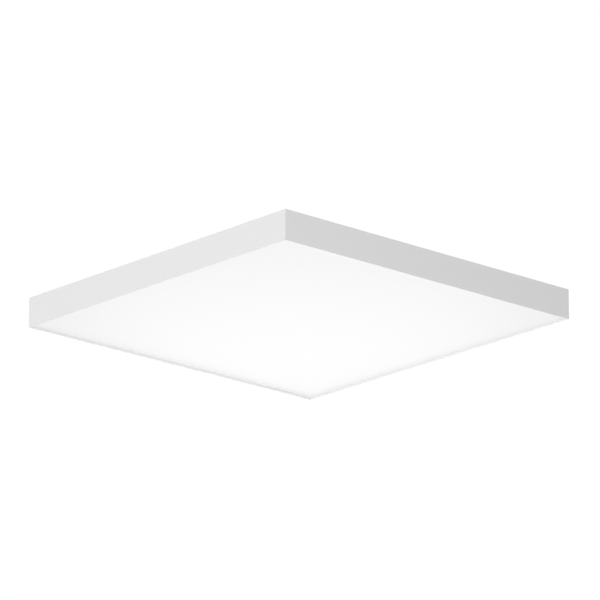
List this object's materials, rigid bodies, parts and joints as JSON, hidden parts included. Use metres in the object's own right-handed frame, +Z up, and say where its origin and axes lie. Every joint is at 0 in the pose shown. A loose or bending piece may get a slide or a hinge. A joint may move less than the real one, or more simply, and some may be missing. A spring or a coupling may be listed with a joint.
{
  "type": "ceiling panel light",
  "caption": "Square surface-mounted ceiling light: thin white mitred frame, glowing opal diffuser over the whole underside, driver gear on a back panel and a ceiling bracket.",
  "frame": {"origin": "middle of the bracket's four fixing slots, on the ceiling plane", "axes": "+Z up into the ceiling; +X and +Y along the frame's sides, with the rails along Y"},
  "size_m": [0.6, 0.6, 0.05],
  "materials": {
    "white_powder_coat": "white powder coat, fine satin texture",
    "opal_acrylic": "opal acrylic, glowing when lit",
    "zinc_steel": "zinc-plated pressed steel",
    "spring_steel": "rolled spring steel",
    "rivet_steel": "bright rivets",
    "screw_steel": "zinc-plated screws",
    "black_oxide_steel": "black oxide",
    "cast_aluminium": "bare die-cast aluminium",
    "coil_coated_sheet": "pale grey coil-coated sheet",
    "black_rubber": "soft black rubber",
    "white_board": "white solder mask over an aluminium core",
    "led_phosphor": "yellow phosphor in a white cup",
    "clear_acrylic": "clear moulded acrylic",
    "white_connector": "white nylon",
    "reflector_white": "matte white reflector sheet",
    "driver_case": "white moulded case",
    "green_board": "green circuit board",
    "ferrite": "ferrite and taped winding",
    "capacitor_sleeve": "dark shrink sleeve",
    "black_moulding": "black moulding",
    "terminal_grey": "light grey moulding",
    "button_orange": "orange moulding",
    "slider_red": "red thumb slider",
    "brass": "bright brass",
    "brown_insulation": "brown lead insulation",
    "blue_insulation": "blue lead insulation",
    "earth_insulation": "green and yellow lead insulation",
    "red_insulation": "red lead insulation",
    "black_insulation": "black lead insulation"
  },
  "bodies": {
    "ceiling_bracket": {"rail_left": "zinc_steel", "rail_right": "zinc_steel", "bridge_plate": "zinc_steel", "bridge_rivets": "rivet_steel", "cable_grommet": "black_rubber", "catch_spring_front_left": "spring_steel", "catch_spring_front_right": "spring_steel", "catch_spring_back_right": "spring_steel", "catch_spring_back_left": "spring_steel", "catch_rivets": "rivet_steel"},
    "luminaire": {"frame_front": "white_powder_coat", "frame_right": "white_powder_coat", "frame_back": "white_powder_coat", "frame_left": "white_powder_coat", "diffuser_clips": "spring_steel", "panel_screws": "screw_steel", "strip_screws": "screw_steel", "gear_screws": "screw_steel", "earth_screw": "screw_steel", "corner_grub_screws": "black_oxide_steel", "corner_key_front_left": "cast_aluminium", "corner_key_front_right": "cast_aluminium", "corner_key_back_right": "cast_aluminium", "corner_key_back_left": "cast_aluminium", "back_panel": "coil_coated_sheet", "wire_bush": "black_rubber", "led_strip_1": "white_board", "led_strip_2": "white_board", "led_strip_3": "white_board", "led_strip_4": "white_board", "led_strip_5": "white_board", "led_strip_6": "white_board", "link_board": "white_board", "led_packages": "led_phosphor", "led_lenses": "clear_acrylic", "strip_connectors": "white_connector", "lead_connector": "white_connector", "driver_terminals": "white_connector", "reflector_sheet": "reflector_white", "driver_base": "driver_case", "driver_cover": "driver_case", "driver_board": "green_board", "driver_transformer": "ferrite", "driver_capacitors": "capacitor_sleeve", "selector_switch": "black_moulding", "terminal_block": "terminal_grey", "cable_clamp": "terminal_grey", "wire_saddles": "terminal_grey", "terminal_contacts": "brass", "earth_lug": "brass", "live_lead": "brown_insulation", "neutral_lead": "blue_insulation", "earth_lead": "earth_insulation", "plus_lead": "red_insulation", "minus_lead": "black_insulation"},
    "diffuser": {"diffuser": "opal_acrylic"},
    "terminal_button_live": {"terminal_button_live": "button_orange"},
    "terminal_button_neutral": {"terminal_button_neutral": "button_orange"},
    "terminal_button_earth": {"terminal_button_earth": "button_orange"},
    "selector_slider": {"selector_slider": "slider_red"}
  },
  "joints": [
    {"name": "lamp_drop", "type": "slide", "parent": "ceiling_bracket", "child": "luminaire", "axis": [0, 0, -1], "range_m": [0, 0.12], "deforming": ["catch_spring_front_left", "catch_spring_front_right", "catch_spring_back_right", "catch_spring_back_left"]},
    {"name": "diffuser_drop", "type": "slide", "parent": "luminaire", "child": "diffuser", "axis": [0, 0, -1], "range_m": [0, 0.08], "deforming": ["diffuser_clips"]},
    {"name": "press_live_button", "type": "slide", "parent": "luminaire", "child": "terminal_button_live", "axis": [0, 0, -1], "range_m": [0, 0.0018], "stiffness_N_per_m": 1200, "springref_m": -0.0005},
    {"name": "press_neutral_button", "type": "slide", "parent": "luminaire", "child": "terminal_button_neutral", "axis": [0, 0, -1], "range_m": [0, 0.0018], "stiffness_N_per_m": 1200, "springref_m": -0.0005},
    {"name": "press_earth_button", "type": "slide", "parent": "luminaire", "child": "terminal_button_earth", "axis": [0, 0, -1], "range_m": [0, 0.0018], "stiffness_N_per_m": 1200, "springref_m": -0.0005},
    {"name": "selector_slide", "type": "slide", "parent": "luminaire", "child": "selector_slider", "axis": [1, 0, 0], "range_m": [-0.002, 0.002]}
  ]
}
